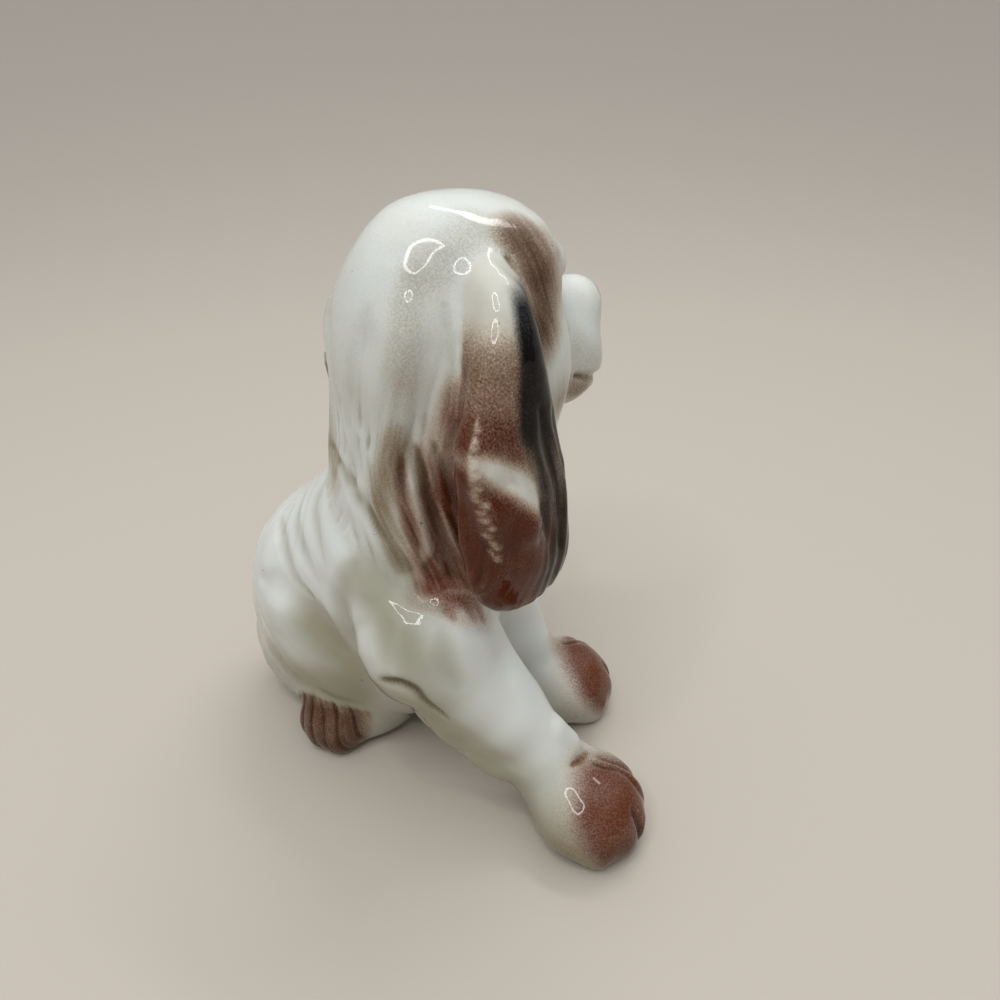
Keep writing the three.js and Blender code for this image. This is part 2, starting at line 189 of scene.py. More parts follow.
def stroke(places, stops, radius, fade=0.0):
    """How strongly a tool drawn along a line touches each place: 1 on the line, 0 beyond its radius.
    Fade narrows and lightens the tool towards both ends of the line."""
    line = bend(stops)
    touch = np.zeros(len(places))
    low = line.min(0) - radius
    high = line.max(0) + radius
    near = np.flatnonzero(((places > low) & (places < high)).all(1))
    spot = places[near]
    closest = np.full(len(near), np.inf)
    press = np.ones(len(near))
    count = len(line) - 1
    for index in range(count):
        start = line[index]
        step = line[index + 1] - start
        share = np.clip((spot - start) @ step / (step @ step), 0.0, 1.0)
        eased = 1.0 - fade * np.abs(2.0 * (index + share) / count - 1.0) ** 3
        gap = np.linalg.norm(spot - start - share[:, None] * step, axis=1) / (radius * eased)
        nearer = gap < closest
        closest[nearer] = gap[nearer]
        press[nearer] = eased[nearer]
    touch[near] = press * np.clip(1.0 - closest**2, 0.0, 1.0) ** 2
    return touch


HEAD_CENTRE = np.array((4.364, -3.254, 79.5))
HEAD_TURN = math.radians(55)


def facing(places):
    """Positions measured from the middle of the head: ahead of it, to its left and up."""
    away = places - HEAD_CENTRE
    ahead = math.cos(HEAD_TURN) * away[:, 0] + math.sin(HEAD_TURN) * away[:, 1]
    left = math.cos(HEAD_TURN) * away[:, 1] - math.sin(HEAD_TURN) * away[:, 0]
    return np.stack([ahead, left, away[:, 2]], 1)


def sponge(touch, rounds):
    """Wipes the damp clay with a sponge, which closes creases and rounds edges."""
    share = np.clip(touch, 0.0, 1.0)
    for axis in range(3):
        points[:, axis] += share * (spread(points[:, axis], rounds) - points[:, axis])


seams = np.zeros(len(points))
for share in belongs.values():
    wide = spread(share, 50)
    seams = np.maximum(seams, 4 * wide * (1 - wide))
sponge(1.6 * seams, 70)
head = facing(points)
for half in (head, head * (1, -1, 1)):
    sponge(1.5 * stroke(half, CHEEK_SEAM, 5.0), 50)
sponge(1.5 * stroke(points, RUFF_SEAM, 6.5), 90)
for half, sway in ((head, 0.0), (head * (1, -1, 1), LEFT_SWAY)):
    sponge(1.5 * stroke(half, EAR_TIP + (sway, 0, 0), 4.5), 40)
skin.vertices.foreach_set("co", (points * MM).ravel())
skin.update()
normals = column(skin.vertices, "normal", 3)
head = facing(points)
mirrored = head * (1, -1, 1)

lift = np.zeros(len(points))
# Besides the stains, one layer holds pooled glaze together with painted shade, and the grey-brown stain also
# paints shade into creases and under the jaw.
paint = {name: np.zeros(len(points)) for name in ("grey_stain_and_shade", "brown", "mauve", "black", "pool_and_shade", "bare", "fur")}
strands = np.zeros((len(points), 3))


def coat(stain, density):
    """Sprays a stain or lays painted shade: a second pass over the same place adds only what is missing."""
    paint[stain] = 1.0 - (1.0 - paint[stain]) * (1.0 - np.clip(density, 0.0, 1.0))


def wipe(stain, touch):
    """Wipes a stain off before the glaze goes on."""
    paint[stain] *= 1.0 - np.clip(touch, 0.0, 1.0)


def combing(across, along, pitch):
    """Uneven ridges left by a comb, from -1 to 1, that wander along the hair."""
    turns = 2 * math.pi * across / pitch
    wander = 0.9 * np.sin(along / 6.1 + 0.7 * across) + 0.5 * np.sin(along / 2.9 - 1.3 * across)
    return 0.6 * np.sin(turns + wander) + 0.4 * np.sin(turns / 2.7 + 1.7 * np.sin(along / 9.0))


# Torso
# A hollow porcelain shell of rump, back and chest, cast upright and drained through a vent in the seat.
# Shallow hair is combed into the damp clay, and the seat is wiped bare of glaze where it stood in the kiln.
RUFF_EDGE = [
    (-10.7, -13.9, 63),
    (-6.3, -17.9, 59),
    (-1.3, -19.2, 54),
    (1.6, -19.8, 48.5),
    (5, -21.4, 44.6),
    (9, -21.4, 42.6),
]
ARMPIT = [
    (-4.8, -21.5, 47.7),
    (-7, -21.9, 43),
    (-8.3, -21.1, 39),
    (-8.4, -19.8, 33.5),
    (-5, -21.5, 29.5),
    (0, -24.5, 28.4),
]
HAUNCH_FOLD = [(-29, -12.4, 34), (-24, -14.8, 35), (-19, -16.8, 35), (-14, -18.2, 32.5), (-10.5, -18.6, 27)]
BACK_LOCKS = [
    [(-13.5, -8.5, 57), (-16.9, -11.2, 51), (-14.6, -15.2, 48), (-10.5, -18.8, 44)],
    [(-27.4, -6.9, 43), (-24.4, -11.6, 42), (-20.5, -15, 39), (-16.5, -17.4, 36.5)],
    [(-22.5, -6, 49), (-21.5, -10.5, 46), (-17.5, -14.8, 43.5), (-13, -17.8, 40)],
    [(-31.5, -6, 36), (-31, -9, 30), (-28, -12.5, 24)],
]
SHOULDER_FOLDS = [
    [(0.8, -25, 41), (1.6, -26, 38.6), (2.2, -27, 35.6)],
    [(5.2, -25, 40), (5.6, -26, 37.6), (5.4, -27, 35)],
    [(9.6, -23, 40.4), (10.6, -24.6, 35.6), (12.6, -24.4, 31)],
]
FLANK_SHADE = [(-16, -17.6, 31), (-12, -19, 28), (-9.5, -19, 23), (-13, -17.5, 17)]
BACK_PITCH = 4.6


def opposite(stops):
    """The same line on the other side of the body, laid onto the castings."""
    mirror = [Vector((x, 2 * VENT_PLACE[1] - y, z)) for x, y, z in stops]
    return [castings.find_nearest(stop * MM)[0] / MM for stop in mirror]


lift -= 0.5 * stroke(points, RUFF_EDGE, 2.4, 0.4)
lift += 0.35 * stroke(points, [(-8, -15.5, 63), (-3.5, -18, 59), (0, -19, 54), (2.4, -19.6, 48)], 2.2, 0.4)
for stops in (ARMPIT, HAUNCH_FOLD, opposite(ARMPIT), opposite(HAUNCH_FOLD)):
    lift -= 0.8 * stroke(points, stops, 4.2, 0.6)
lift += 0.5 * stroke(points, [(-28, -12, 29), (-22, -16.6, 29), (-17, -18, 26)], 5.5)
lift -= 0.3 * stroke(points, [(-4.8, -21.4, 47.5), (-3, -22.4, 46.2)], 2.6)
# Pooled glaze and painted shade darken the shoulder folds and the back locks.
for stops in SHOULDER_FOLDS:
    lift -= 0.50 * stroke(points, stops, 2.8, 0.6)
    coat("pool_and_shade", 0.50 * stroke(points, stops, 3.0, 0.6))
for stops in BACK_LOCKS + [opposite(stops) for stops in BACK_LOCKS]:
    lift -= 0.5 * stroke(points, stops, 2.4, 0.5)
    coat("pool_and_shade", 0.35 * stroke(points, stops, 2.4, 0.5))
back_turn = np.arctan2(points[:, 1] - VENT_PLACE[1], points[:, 0] - VENT_PLACE[0])
back_across = 17.0 * back_turn + 2.2 * np.sin(points[:, 2] / 8.0)
from_middle = np.hypot(*(points[:, :2] - VENT_PLACE).T)
back_hair = belongs["torso"] * ramp(22, 44, points[:, 2]) * ramp(7, 14, from_middle)
lift += 0.15 * back_hair * combing(back_across, points[:, 2], BACK_PITCH)
x, y, z = points.T
broad_lumps = np.sin(x / 2.7 + z / 4.3) * np.sin(y / 3.1 - z / 3.4 + 1.0)
fine_lumps = 0.6 * np.sin(x / 1.9 - z / 2.3) * np.sin(y / 2.1)
moulded = belongs["torso"] + (belongs["right_front_leg"] + belongs["left_front_leg"]) * ramp(13, 18, z)
lift += 0.22 * moulded * ramp(46, 41, z) * (broad_lumps + fine_lumps)
strands[:, 0] = back_across
strands[:, 1] = points[:, 2]
# Painted shade fills the flank hollow, the lower flank, the armpit, the shoulder and the edge under the ruff,
# and darkens the torso and right hind foot towards the floor.
coat("pool_and_shade", 1.00 * stroke(points, FLANK_SHADE, 8.0))
coat("pool_and_shade", 1.00 * stroke(points, [(-26, -13, 17), (-19, -16.5, 15), (-12, -16.5, 15)], 8.0))
coat("pool_and_shade", 0.60 * stroke(points, ARMPIT, 4.0, 0.5))
coat("pool_and_shade", 0.85 * stroke(points, [(-2, -22, 45.5), (3, -24.5, 41), (6, -25.6, 37)], 8.0))
coat("pool_and_shade", 0.60 * stroke(points, RUFF_EDGE, 1.9, 0.3))
coat("pool_and_shade", 0.68 * (belongs["torso"] + belongs["right_hind_foot"]) * ramp(38, 4, points[:, 2]))
paint["bare"] = ramp(0.35, 0.05, points[:, 2])

# Head
# A hollow shell of skull, muzzle and neck ruff, turned to the puppy's left and luted to the tilted neck.
# Long wavy locks are cut down the ruff with a loop tool, and the face is modelled and painted by hand.
LOCK_CUTS = [
    # radius, depth and stops, on the puppy's right; each is cut on the left as well
    (3.4, 0.5, [
        (-8.4, -11.4, 6.5), (-8.9, -12.2, 2.5), (-9.2, -13, -0.9), (-10.2, -12.6, -4.9), (-11.1, -11.2, -9.4),
    ]),
    (1.7, 0.8, [
        (-12.4, -9.4, -11.5), (-11.6, -9.8, -18), (-10.1, -10.4, -25.8), (-8.2, -11, -33.3), (-6, -12, -38),
    ]),
    (1.6, 0.6, [
        (-14.2, -8.4, -12), (-14.4, -8.5, -18.5), (-13.9, -9.1, -24.1),
        (-12.2, -9.9, -31.3), (-9.6, -11, -37),
    ]),
    (1.5, 0.6, [(-11, -11.2, -10), (-9.4, -11.8, -17), (-7.9, -11.8, -24.3), (-6, -12.2, -32)]),
    (2.4, 0.4, [
        (-15.2, -5, 6), (-16.4, -4.3, 2.2), (-17.3, -3.3, -2), (-17, -2.9, -7.8), (-16.3, -4.1, -13.5),
    ]),
    (2.2, 0.4, [(-17.2, 1.9, -12.4), (-17.7, 0.6, -18.1), (-17.4, -2.6, -22.5), (-15.8, -6, -28)]),
]
SPECKLED_LOCK = [(-12.4, -9.4, 7), (-13.6, -10.2, 2), (-14.4, -9.2, -6), (-15, -7.7, -13.5)]
SOOTY_LOCK = [
    (-14.6, -8.6, -9),
    (-15, -7.7, -13.5),
    (-16.1, -6, -18.7),
    (-15.6, -5.6, -24),
    (-14.6, -7.1, -31.8),
]
PALE_LOCK = [
    (-13.4, -8.8, -15),
    (-13.1, -9.2, -19.5),
    (-12.5, -9.7, -23.6),
    (-12.1, -10.2, -27.7),
    (-12.6, -9.6, -31),
]
BROWN_LOCKS = [
    # strength, radius, fade and stops
    (0.82, 5.0, 0.0, [(-9, -12.8, -9), (-8.4, -12.1, -18), (-6.8, -11.8, -26), (-5, -12, -37)]),
    (0.82, 3.6, 0.5, [(-11.8, -9.8, -12.5), (-10, -10.6, -19.2), (-7.3, -11.4, -27), (-6, -11.4, -36)]),
    (0.95, 5.0, 0.4, [(-12.6, -9.6, -20), (-11.4, -10.2, -29), (-10.2, -10.6, -33.5), (-8, -11.2, -39)]),
    (0.80, 1.7, 0.7, [(-14.2, -8.4, -13), (-14.3, -8.5, -19), (-13.7, -9.1, -25), (-12.4, -9.8, -31)]),
]
LOCK_DRIFT_AT = [-36, -28, -20, -14, -8, 0, 10]
LOCK_DRIFT = [7.0, 3.6, 0.8, 0.0, 1.4, 3.4, 4.6]
LOCK_PITCH = 2.0
EAR_FOLD = [(0.8, -12.4, 11.5), (1.2, -13.6, 8), (2.4, -14.8, 5), (3.6, -15.8, 1.5), (4, -16.2, -4)]
EAR_FOLD_SHADE = [(0.8, -12.4, 11.5), (1.2, -13.6, 8), (2.4, -14.8, 5), (4, -16, -2)]
BROW_PATCH = [(4, -11, 13.6), (4.8, -12.8, 9.5), (5, -13.8, 6), (5.4, -14.8, 1.5), (6, -15.4, -3)]
BROW_SHADE = [(4, -11, 13.6), (4.8, -12.8, 9.5), (5.2, -14.2, 4), (6, -15.4, -3)]
BROW_EDGE = [(8, -11, 12), (9.4, -11.6, 6), (9.4, -12, -1), (8.4, -13.6, -7)]
JAW_SHADE = [(8.6, -14.2, -8), (13, -10.4, -10.4), (18, -8.4, -11.4), (20, -3, -13)]
LOCK_BY_EAR = [(-7.2, -15, -2), (-8.4, -14.4, -6), (-8.8, -13.6, -11)]
EYE = (14.1, -6.6, 5.8)
NOSE = [(27.6, 0, 2.4), (27.2, -2.2, 1.6), (27.2, -2, -0.4), (27.7, 0, -1.2)]
MOUTH = [(27.2, -0.6, -8.6), (26, -3, -9.8), (24.2, -5.8, -10.6), (21.4, -8, -10), (16.4, -9.4, -8.4)]

ruff = np.clip(belongs["head"] * 1.3, 0, 1)
around = 15.0 * np.abs(np.arctan2(np.abs(head[:, 1]), -(head[:, 0] + 2.0)))
combed = around - np.interp(head[:, 2], LOCK_DRIFT_AT, LOCK_DRIFT)
ruff_hair = ruff * ramp(6, -12, head[:, 2]) * np.maximum(ramp(8, 2, head[:, 0]), ramp(-13, -19, head[:, 2]))
lift += 0.16 * ruff_hair * (1 - 0.5 * ramp(0, 8, head[:, 0])) * combing(combed, head[:, 2], LOCK_PITCH)
on_head = ruff > 0.5
strands[on_head, 0] = combed[on_head]
strands[on_head, 1] = head[on_head, 2]
temples = on_head & (head[:, 0] > 1)
strands[temples, 0] = head[temples, 0] + 0.3 * head[temples, 2]
paint["fur"] = np.maximum(paint["fur"], temples * ramp(1, 3, head[:, 0]) * ramp(14, 10, head[:, 0]))
paint["fur"] = np.maximum(paint["fur"], ruff_hair)
coat("grey_stain_and_shade", 0.08 * ruff)
for half in (head, mirrored):
    # Painted shade: the narrow lock cuts are darkened inside with the grey-brown stain.
    for radius, depth, stops in LOCK_CUTS:
        lift -= depth * stroke(half, stops, radius, 0.6)
        coat("grey_stain_and_shade", (0.40 if radius < 2 else 0.05) * stroke(half, stops, radius, 0.6))
    lift += 0.5 * stroke(half, PALE_LOCK, 1.6, 0.6)
    lift += 0.35 * stroke(half, SPECKLED_LOCK, 3.4, 0.4)
    lift += 0.40 * stroke(half, SOOTY_LOCK, 3.0, 0.5)
    lift -= 0.55 * stroke(half, [(-9.6, -8.2, 11.8), (-10.6, -9.2, 10)], 8.0)
    coat("grey_stain_and_shade", 0.38 * stroke(half, [(-10.6, -8.1, 10.9)] + SPECKLED_LOCK, 3.6, 0.3))
    coat("grey_stain_and_shade", 0.75 * stroke(half, SOOTY_LOCK, 3.8, 0.4))
    coat("brown", 0.20 * stroke(half, SOOTY_LOCK, 3.4, 0.5))
    coat("grey_stain_and_shade", 0.36 * ruff * stroke(half, [(-2, -9, 15), (-5, -10, 13), (-8.5, -9, 11)], 5.0))
    brushed = ruff * ramp(-4, -16, half[:, 2])
    for strength, radius, fade, stops in BROWN_LOCKS:
        coat("brown", strength * brushed * stroke(half, stops, radius, fade))
    wipe("brown", 0.55 * stroke(half, PALE_LOCK, 1.8, 0.5))

    # the face: eye sockets and lids, cheeks, flews, a dark nose and a soft brown patch beside each eye
    lift -= 1.5 * stroke(half, [(14.4, -4.6, 5.4), EYE, (13, -8.6, 5.2)], 3.8)
    lift += 1.5 * stroke(half, [(14.2, -6.2, 6), (14, -7, 6)], 2.6)
    lift += 0.9 * stroke(half, [(15, -3, 9.2), (14.2, -6.4, 9.8), (12.4, -9.8, 8.4)], 3.0, 0.4)
    lift += 0.5 * stroke(half, [(14.6, -4.4, 4.2), (14, -6.8, 3.4), (13.2, -9, 4.4)], 1.6, 0.5)
    lift -= 0.8 * stroke(half, MOUTH, 1.4, 0.5)
    lift -= 0.9 * stroke(half, [(27.6, -1.8, 0.9), (27, -2.6, 0.4)], 1.1)
    coat("brown", 0.75 * stroke(half, [(14.4, -4.6, 6), EYE, (13.4, -8.4, 5.6)], 3.2))
    coat("black", 2.4 * stroke(half, [(14.4, -6.1, 6), (14.2, -7.1, 6)], 2.4))
    coat("brown", 0.55 * stroke(half, MOUTH, 1.3, 0.3))
    coat("black", 0.95 * stroke(half, NOSE, 2.2))
    # Painted shade darkens the crease in front of each ear, the side of the brow, the jaw and the lower
    # muzzle.
    lift -= 0.6 * stroke(half, EAR_FOLD, 1.5, 0.4)
    coat("grey_stain_and_shade", 0.6 * stroke(half, EAR_FOLD_SHADE, 1.6, 0.3))
    brow = ramp(-3, 5, half[:, 2] - 0.8 * (half[:, 0] - 7))
    coat("brown", 0.60 * brow * stroke(half, BROW_PATCH, 5.2))
    coat("black", 0.10 * brow * stroke(half, BROW_SHADE, 4.6))
    coat("grey_stain_and_shade", 0.75 * brow * stroke(half, BROW_SHADE, 5.6))
    coat("brown", 0.26 * brow * stroke(half, BROW_EDGE, 4.6))
    coat("brown", 0.30 * stroke(half, [(10, -13, -9), (14, -10, -11), (18, -8.4, -11.6)], 4.0))
    coat("grey_stain_and_shade", 0.60 * stroke(half, JAW_SHADE, 4.6))
    coat("grey_stain_and_shade", 0.22 * stroke(half, [(14, -8.6, -3), (19, -8, -6), (23, -6, -8)], 5.0))
coat("brown", 0.80 * ruff * stroke(head, LOCK_BY_EAR, 3.6, 0.3))
lift -= 0.8 * stroke(head, [(27.8, 0, -2), (27.2, 0, -5), (26.8, 0, -8.6)], 1.3, 0.4)
lift -= 0.7 * stroke(head, [(15.4, 0, 5), (15.4, 0, 8), (14.6, 0, 12)], 3.0, 0.5)
coat("brown", 0.5 * stroke(head, [(27.8, 0, -2), (27.2, 0, -5), (26.8, 0, -8.6)], 1.1, 0.3))

# Ears
# Two solid pendant ears, pressed in a mould and luted below the brow.
# Wavy hair is combed down each one, a blue-black band is sprayed along its front and red-brown over the rest.
EAR_DROPS = [2.6, 5.6, 16.4, 27.4, 37.4]
EAR_MIDDLES = np.array([-2.2, -2.6, -4.4, -4.2, -2.5])
EAR_SWAYS = np.array([0.0, 0.0, 0.5, 1.0, 1.0])
EAR_CREST = [(-7.1, 13), (-7.4, 15.6), (-7.8, 18.5), (-7.8, 20.8), (-7, 24), (-6.1, 28.8), (-6.1, 32)]
EAR_BUMPS = [
    ([(-3.6, 6), (-3.4, 7)], 0.5),
    ([(-5.6, 17.2), (-5, 18.2)], 0.7),
    ([(-3.2, 25.2), (-1.2, 28.2)], 0.9),
]
BLACK_FROM_DROP = [-1, 3, 8, 11, 15, 19, 26, 33, 38]
BLACK_FROM = [-0.5, -1.4, -1.4, -1.5, -0.9, 0.6, 2.5, 2.9, 1.0]
EAR_PITCH = 1.9
BEADS_A_SPAN = 4
HEAD_RIGHT = np.array((math.sin(HEAD_TURN), -math.cos(HEAD_TURN), 0.0))
for name, half, sway, outward in (
    ("right_ear", head, 0.0, normals @ HEAD_RIGHT),
    ("left_ear", mirrored, LEFT_SWAY, -normals @ HEAD_RIGHT),
):
    drop = 8.0 - half[:, 2]
    across = half[:, 0] - np.interp(drop, EAR_DROPS, EAR_MIDDLES + sway * EAR_SWAYS)
    flat = np.stack([across, drop], 1)
    on_ear = np.clip(1.4 * belongs[name] - 0.2, 0, 1)
    for stain in ("brown", "grey_stain_and_shade", "black"):
        wipe(stain, on_ear)

    outer_face = on_ear * ramp(0.3, 0.7, outward)
    crest = outer_face * stroke(flat, EAR_CREST, 1.6, 0.6)
    lift += 0.5 * crest
    beads = np.zeros(len(points))
    for index, (bead_across, bead_drop) in enumerate(bend(EAR_CREST, BEADS_A_SPAN)):
        bead = np.array((bead_across + 0.35 * math.sin(2.2 * index), bead_drop))
        touch = stroke(flat, [bead - (0.1, 0.1), bead + (0.1, 0.1)], 0.8 + 0.15 * math.sin(3.1 * index))
        beads = np.maximum(beads, touch)
    lift += 0.28 * outer_face * beads
    for stops, height in EAR_BUMPS:
        lift += height * on_ear * stroke(flat, stops, 4.2)
    lift -= 0.5 * on_ear * stroke(flat, [(-9.4, 20), (-8.6, 25), (-8, 30), (-8.2, 36)], 1.5, 0.4)
    lift -= 0.3 * on_ear * stroke(flat, [(-4.2, 24), (-3.8, 28), (-4, 33)], 1.6, 0.8)
    lift -= 0.5 * on_ear * stroke(flat, [(-0.8, 13), (0.6, 19), (2.5, 25), (3, 32)], 1.4, 0.5)
    lift -= 0.5 * on_ear * stroke(flat, [(2.2, 13), (4.4, 20), (6, 27), (5.4, 35)], 1.2, 0.5)
    lift -= 0.5 * on_ear * stroke(flat, [(5.4, 14), (7, 19), (7.6, 24)], 1.4, 0.5)
    waved = across + 1.4 * np.sin((drop - 4) / 5.0)
    hairy = np.maximum(ramp(0, 4, across), ramp(-6.4, -8.4, across))
    ear_hair = on_ear * (0.2 + 0.8 * hairy) * ramp(12, 24, drop)
    lift += 0.2 * ear_hair * combing(waved, drop, EAR_PITCH)
    inside = on_ear > 0.5
    strands[inside, 0] = waved[inside]
    strands[inside, 1] = drop[inside]
    paint["fur"] = paint["fur"] * (1 - on_ear) + on_ear * (0.3 + 0.7 * hairy) * ramp(6, 20, drop)

    coat("grey_stain_and_shade", on_ear * 0.60 * ramp(1, 9, drop))
    coat("pool_and_shade", on_ear * 0.35 * ramp(10, 6, drop))
    coat("brown", on_ear * 0.60 * ramp(1, 10, drop))
    coat("brown", on_ear * 0.50 * stroke(flat, [(-6.6, 14.5), (-4.6, 15.4), (-2.4, 15), (-1.6, 18)], 3.2))
    coat("brown", on_ear * 0.92 * ramp(-6.2, -8.2, across) * ramp(9, 15, drop))
    coat("brown", on_ear * 0.97 * ramp(21.4, 25.4, drop - 0.9 * (across + 3.8)))
    bared = on_ear * stroke(flat, [(-6.4, 18.2), (-3.8, 20.2), (-0.9, 22.4), (1.6, 25.4)], 3.2, 0.2)
    wipe("brown", 1.3 * bared)
    wipe("grey_stain_and_shade", 0.9 * bared)
    rubbed = outer_face * np.maximum(0.15 * crest, 0.50 * beads)
    wipe("brown", rubbed)
    wipe("grey_stain_and_shade", rubbed)
    inked = ramp(-0.8, 0.8, across - np.interp(drop, BLACK_FROM_DROP, BLACK_FROM)) * ramp(-2, 1, drop)
    frayed = ramp(14, 22, drop) * (0.5 + 0.5 * combing(waved, drop, 2.6))
    coat("black", on_ear * inked * (1 - 0.75 * frayed))
    wipe("brown", on_ear * inked * 0.8 * frayed * ramp(30, 22, drop))

# Front legs
# Solid legs with feathered forearms, pressed in two-part moulds and luted into the shoulders.
# Toe grooves are cut with a knife, and the toes are sprayed mauve-brown.
ARM_CREASE = [
    (0.9, -27.3, 32.3),
    (2.2, -27.7, 32.5),
    (4.3, -27.8, 32.6),
    (6.5, -27.4, 31.4),
    (8, -26.5, 28.5),
    (10.9, -25, 24.8),
]
ARM_FOLD = [(10.9, -25, 24.8), (13.6, -24.4, 21), (17.5, -23.8, 17.6), (22, -23, 15)]
FEATHERS = [
    [(6.4, -24.6, 24), (8.6, -23.2, 20.4), (10, -22, 17)],
    [(13.6, -22.2, 14.6), (16.2, -22, 12.8), (18.6, -22, 12)],
]
RUFF_HEM = [(4.6, -19.4, 44.8), (8.6, -19.6, 43.6), (11, -18, 42.6), (14, -15.5, 41)]
RUFF_TIPS = [
    [(8.9, -20.2, 43.4), (9.8, -20.8, 41.8), (10.6, -21.2, 40.4)],
    [(10.8, -18.2, 42.8), (12, -18.4, 40.6), (12.8, -18.8, 38.8)],
    [(12.6, -16.6, 41.4), (13.2, -17, 39.6), (13.8, -17.4, 38)],
]
PAW_GROOVES = [
    [(-0.2, 1.2, 13.8), (2.2, 2.7, 12.5), (4.8, 4.3, 10.6), (6.9, 4.6, 8.6), (8.4, 4.6, 4.4)],
    [(0.4, 3.6, 13.2), (3.2, 5.8, 11.2), (5.4, 7.2, 8.4), (6.2, 7.6, 5)],
    [(8.4, 0.2, 10), (10, 0.2, 6.8), (10.2, 0.2, 3)],
]
WRIST_CREASE = [(29.4, -19.4, 15), (30.6, -16.8, 14.3), (31, -13.5, 12.5)]
RIGHT_PAW = (31.56, -18.35, -15)
LEFT_PAW = (20.76, 8.85, 20)


def stand(place):
    """Positions measured from a foot: ahead of it, to its left and above the floor."""
    x, y, heading = place
    ahead = (math.cos(math.radians(heading)), math.sin(math.radians(heading)))
    away = points[:, :2] - (x, y)
    return np.stack([away @ ahead, away @ (-ahead[1], ahead[0]), points[:, 2]], 1)


# The arm crease is cut, and painted shade darkens it with the grey-brown stain and a little black.
lift -= 0.8 * stroke(points, ARM_CREASE, 1.7, 0.7)
coat("grey_stain_and_shade", 0.80 * stroke(points, ARM_CREASE, 1.2, 0.6))
coat("black", 0.20 * stroke(points, ARM_CREASE, 0.9, 0.7))
lift -= 0.35 * stroke(points, ARM_FOLD, 3.0, 0.7)
for stops in FEATHERS:
    lift += 0.8 * stroke(points, stops, 3.2, 0.3)
lift += 0.9 * stroke(points, [(26, -16, 18.6), (28.2, -15, 16.4)], 3.2)
lift -= 0.7 * stroke(points, WRIST_CREASE, 1.6, 0.4)
coat("brown", 0.55 * stroke(points, WRIST_CREASE, 1.0, 0.5))
coat("brown", 0.75 * stroke(points, RUFF_HEM, 2.4, 0.4))
coat("brown", 0.20 * stroke(points, [(6, -20.6, 44), (10, -19.6, 42), (13.4, -17, 39.6)], 4.4))
for stops in RUFF_TIPS:
    lift -= 0.25 * stroke(points, stops, 1.3, 0.6)
    coat("brown", 0.50 * stroke(points, stops, 1.4, 0.9))
# Painted shade: the right front leg darkens where it faces the floor.
coat("pool_and_shade", 0.95 * belongs["right_front_leg"] * ramp(-0.5, 0.5, -normals[:, 2]))
for name, place, paw_shade in (("right_front_leg", RIGHT_PAW, 0.9), ("left_front_leg", LEFT_PAW, 0.4)):
    paw = stand(place)
    # The toe grooves are cut and darkened with the grey-brown stain.
    for stops in PAW_GROOVES:
        lift -= 0.9 * stroke(paw, stops, 1.3, 0.5)
        coat("grey_stain_and_shade", 0.6 * stroke(paw, stops, 1.0, 0.4))
    sprayed = ramp(-1.6, 2.8, paw[:, 0] + 0.4 - 0.7 * (13.5 - paw[:, 2]))
    toes = sprayed * ramp(0.2, 2.6, paw[:, 2]) * ramp(18, 15, paw[:, 2])
    coat("mauve", 0.95 * belongs[name] * toes)
    coat("mauve", 0.15 * belongs[name] * ramp(-5, 2, paw[:, 0]) * ramp(20, 12, paw[:, 2]))
    # Painted shade darkens each paw towards the floor, and faintly the whole lower leg.
    coat("pool_and_shade", paw_shade * belongs[name] * ramp(19, 5, paw[:, 2]) * (1 - toes))
    coat("pool_and_shade", 0.2 * paw_shade * belongs[name] * ramp(40, 14, paw[:, 2]))

# Hind feet
# The visible ends of the folded hind legs, pressed solid and luted under the haunches.
# Each has four toes, parted by knife cuts and sprayed like the front ones.
RIGHT_FOOT = (-14.84, -7.85, 234)
LEFT_FOOT = (-2.24, 19.35, 12)
RIGHT_TOE_RUN = (-0.6, 0.8, 0.35)
LEFT_TOE_RUN = (0.0, 0.8, 0.0)
HIND_TOE_PITCH = 2.7
for name, place, run in (
    ("right_hind_foot", RIGHT_FOOT, RIGHT_TOE_RUN),
    ("left_hind_foot", LEFT_FOOT, LEFT_TOE_RUN),
):
    foot = stand(place)
    sprayed = ramp(3.4, 7.4, foot[:, 0] + 0.25 * foot[:, 1])
    round_foot = foot @ run + 0.4 * np.sin(foot[:, 2] / 2.1)
    tips = ramp(13.4, 9.6, foot[:, 2] + 1.1 * combing(round_foot, foot[:, 2], 1.5))
    toes = np.clip(belongs[name] * 1.6, 0, 1) * sprayed * tips * ramp(0.2, 1.4, foot[:, 2])
    coat("mauve", 0.62 * toes)
    coat("brown", 0.30 * toes)
    grooves = toes * ramp(0.5, 1.0, np.cos(2 * math.pi * round_foot / HIND_TOE_PITCH))
    lift -= 0.25 * grooves
    coat("brown", 0.60 * grooves)
    paint["fur"] = np.maximum(paint["fur"], 0.9 * toes)
    on_foot = belongs[name] > 0.5
    strands[on_foot, 0] = round_foot[on_foot]
    strands[on_foot, 1] = foot[on_foot, 2]

# Tail
# A short solid tail, rolled by hand and luted round the left side of the rump.
# It is combed with a few long cuts.
lift += 0.2 * belongs["tail"] * combing(points[:, 2] + 2 * np.sin(4 * back_turn), 18 * back_turn, 2.4)

